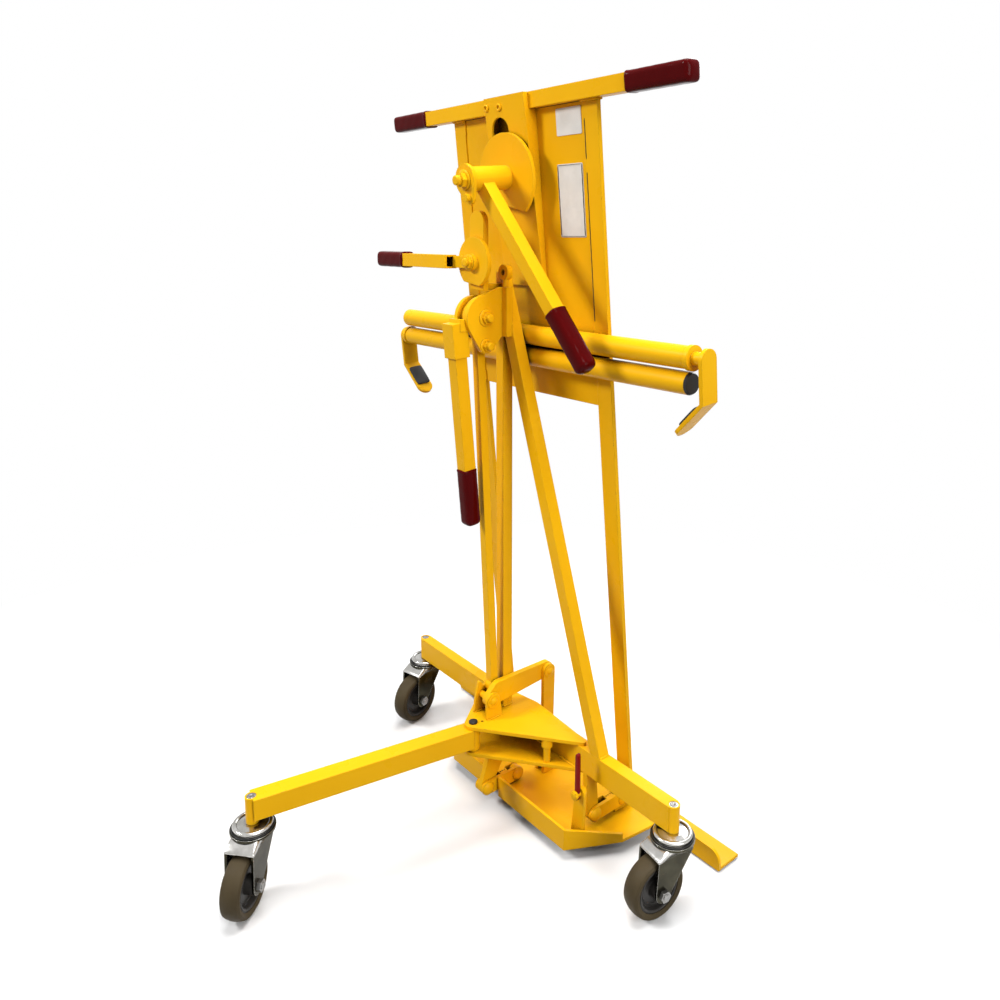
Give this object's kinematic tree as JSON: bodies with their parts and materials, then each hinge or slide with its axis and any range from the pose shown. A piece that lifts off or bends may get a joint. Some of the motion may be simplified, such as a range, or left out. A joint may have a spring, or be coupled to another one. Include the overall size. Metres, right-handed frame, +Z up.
{
  "type": "door handling trolley",
  "caption": "Door handling trolley with a folding front leg, swivel casters, a leaning door carrier with ledge and hooks, and hand levers that lift, tilt and clamp it.",
  "frame": {"origin": "on the floor under the wheels, in the middle of the plan outline", "axes": "+X along the cross beam to the operator's right, +Y from the operator towards the door, +Z up"},
  "size_m": [0.636, 0.578, 1.0126],
  "materials": {
    "yellow_paint": "gloss safety yellow paint, worn at the edges",
    "chrome_plate": "bright zinc plate, a little dull",
    "steel": "plain turned steel",
    "wheel_rubber": "grey-brown rubber tread",
    "wheel_plastic": "dark moulded wheel centre",
    "red_dip": "dark red dipped vinyl",
    "black_plastic": "black moulded cap",
    "pad_rubber": "dark rubber pad"
  },
  "bodies": {
    "base": {"cross_beam": "yellow_paint", "beam_kingpins": "chrome_plate", "hub_plates": "yellow_paint", "nose_pin": "steel", "nose_pin_caps": "black_plastic", "mast": "yellow_paint", "diagonal_strut": "yellow_paint", "head_plate": "yellow_paint", "head_strap": "yellow_paint", "head_bolts": "yellow_paint", "frame_lugs": "yellow_paint", "frame_pins": "yellow_paint"},
    "leg": {"front_leg": "yellow_paint", "front_kingpin": "chrome_plate"},
    "left_fork": {"left_caster_fork": "chrome_plate", "left_caster_axle": "steel"},
    "left_wheel": {"left_caster_wheel_centre": "wheel_plastic", "left_caster_tyre": "wheel_rubber"},
    "right_fork": {"right_caster_fork": "chrome_plate", "right_caster_axle": "steel"},
    "right_wheel": {"right_caster_wheel_centre": "wheel_plastic", "right_caster_tyre": "wheel_rubber"},
    "front_fork": {"front_caster_fork": "chrome_plate", "front_caster_axle": "steel"},
    "front_wheel": {"front_caster_wheel_centre": "wheel_plastic", "front_caster_tyre": "wheel_rubber"},
    "lift_lever": {"lift_lever_hub": "yellow_paint", "lift_lever_bar": "yellow_paint", "lift_lever_grip": "red_dip"},
    "push_rod": {"push_rod": "yellow_paint"},
    "rocker": {"rocker_bars": "yellow_paint", "rocker_pins": "yellow_paint"},
    "drop_link": {"drop_link": "yellow_paint"},
    "left_link": {"parallel_link_left": "yellow_paint"},
    "right_link": {"parallel_link_right": "yellow_paint"},
    "carrier": {"upright_left": "yellow_paint", "upright_right": "yellow_paint", "back_panel": "yellow_paint", "handlebar": "yellow_paint", "handlebar_grips": "red_dip", "tilt_channel": "yellow_paint", "tilt_spindle": "yellow_paint", "hook_tubes": "yellow_paint", "tube_caps": "black_plastic", "tray": "yellow_paint", "door_ledge": "yellow_paint", "tray_lugs": "yellow_paint", "tray_pins": "yellow_paint"},
    "right_slide": {"hook_guide_right": "steel"},
    "right_hook": {"hook_right": "yellow_paint", "hook_pad_right": "pad_rubber"},
    "left_slide": {"hook_guide_left": "steel"},
    "left_hook": {"hook_left": "yellow_paint", "hook_pad_left": "pad_rubber"},
    "tilt_lever": {"tilt_lever": "yellow_paint", "tilt_lever_grip": "red_dip"},
    "clamp_lever": {"clamp_lever": "yellow_paint", "clamp_lever_grip": "red_dip"},
    "latch": {"latch_lever": "red_dip"}
  },
  "joints": [
    {"name": "leg_fold", "type": "hinge", "parent": "base", "child": "leg", "pos_m": [-0.005, 0.06699, 0.1225], "axis": [0, 0, 1], "range_deg": [-48, 71]},
    {"name": "left_swivel", "type": "hinge", "parent": "base", "child": "left_fork", "pos_m": [-0.276, 0.15899, 0.09], "axis": [0, 0, 1], "continuous": true},
    {"name": "left_roll", "type": "hinge", "parent": "left_fork", "child": "left_wheel", "pos_m": [-0.2697, 0.13171, 0.04], "axis": [0.9744, 0.225, 0], "continuous": true},
    {"name": "right_swivel", "type": "hinge", "parent": "base", "child": "right_fork", "pos_m": [0.29, 0.15899, 0.09], "axis": [0, 0, 1], "continuous": true},
    {"name": "right_roll", "type": "hinge", "parent": "right_fork", "child": "right_wheel", "pos_m": [0.28586, 0.1313, 0.04], "axis": [0.989, -0.1478, 0], "continuous": true},
    {"name": "front_swivel", "type": "hinge", "parent": "leg", "child": "front_fork", "pos_m": [-0.06014, -0.23197, 0.09], "axis": [0, 0, 1], "continuous": true},
    {"name": "front_roll", "type": "hinge", "parent": "front_fork", "child": "front_wheel", "pos_m": [-0.04177, -0.2531, 0.04], "axis": [0.7547, 0.6561, 0], "continuous": true},
    {"name": "lift", "type": "hinge", "parent": "base", "child": "lift_lever", "pos_m": [-0.018, 0.08799, 0.7225], "axis": [-1, 0, 0], "range_deg": [0, 75]},
    {"name": "rod_swing", "type": "hinge", "parent": "lift_lever", "child": "push_rod", "pos_m": [-0.018, 0.08728, 0.72195], "axis": [-1, 0, 0], "range_deg": [-76.5, 1]},
    {"name": "rocker_tilt", "type": "hinge", "parent": "base", "child": "rocker", "pos_m": [0, 0.09649, 0.1705], "axis": [1, 0, 0], "range_deg": [-0.5, 4.97]},
    {"name": "drop_swing", "type": "hinge", "parent": "rocker", "child": "drop_link", "pos_m": [0, 0.20099, 0.1815], "axis": [-1, 0, 0], "range_deg": [-0.5, 4.69]},
    {"name": "left_link_swing", "type": "hinge", "parent": "base", "child": "left_link", "pos_m": [-0.008, 0.08899, 0.0335], "axis": [1, 0, 0], "range_deg": [-0.5, 8.98]},
    {"name": "right_link_swing", "type": "hinge", "parent": "base", "child": "right_link", "pos_m": [0.14, 0.16399, 0.0405], "axis": [1, 0, 0], "range_deg": [-0.5, 8.98]},
    {"name": "carrier_hang", "type": "hinge", "parent": "left_link", "child": "carrier", "pos_m": [-0.008, 0.14399, 0.0335], "axis": [-1, 0, 0], "range_deg": [-0.5, 8.98]},
    {"name": "right_hook_slide", "type": "slide", "parent": "carrier", "child": "right_slide", "axis": [1, 0, 0], "range_m": [0, 0.12]},
    {"name": "right_hook_turn", "type": "hinge", "parent": "right_slide", "child": "right_hook", "pos_m": [0.2, 0.15736, 0.69655], "axis": [1, 0, 0], "range_deg": [-100, 100]},
    {"name": "left_hook_slide", "type": "slide", "parent": "carrier", "child": "left_slide", "axis": [-1, 0, 0], "range_m": [0, 0.12]},
    {"name": "left_hook_turn", "type": "hinge", "parent": "left_slide", "child": "left_hook", "pos_m": [-0.2, 0.16029, 0.6667], "axis": [-1, 0, 0], "range_deg": [-100, 100]},
    {"name": "tilt_turn", "type": "hinge", "parent": "carrier", "child": "tilt_lever", "pos_m": [-0.007, 0.15319, 0.90816], "axis": [0, -0.9952, -0.0976], "range_deg": [-10, 75]},
    {"name": "clamp_turn", "type": "hinge", "parent": "base", "child": "clamp_lever", "pos_m": [-0.018, 0.08699, 0.795], "axis": [0, -1, 0], "range_deg": [-45, 45]},
    {"name": "latch_turn", "type": "hinge", "parent": "carrier", "child": "latch", "pos_m": [0.152, 0.12899, 0.092], "axis": [0, 1, 0], "range_deg": [-5, 35]}
  ],
  "couplings": [
    {"joint": "rod_swing", "follows": "lift", "ratio": -0.99886},
    {"joint": "rocker_tilt", "follows": "lift", "ratio": 0.059637},
    {"joint": "drop_swing", "follows": "lift", "ratio": 0.055849},
    {"joint": "left_link_swing", "follows": "lift", "ratio": 0.11302},
    {"joint": "right_link_swing", "follows": "lift", "ratio": 0.11302},
    {"joint": "carrier_hang", "follows": "lift", "ratio": 0.11302}
  ]
}
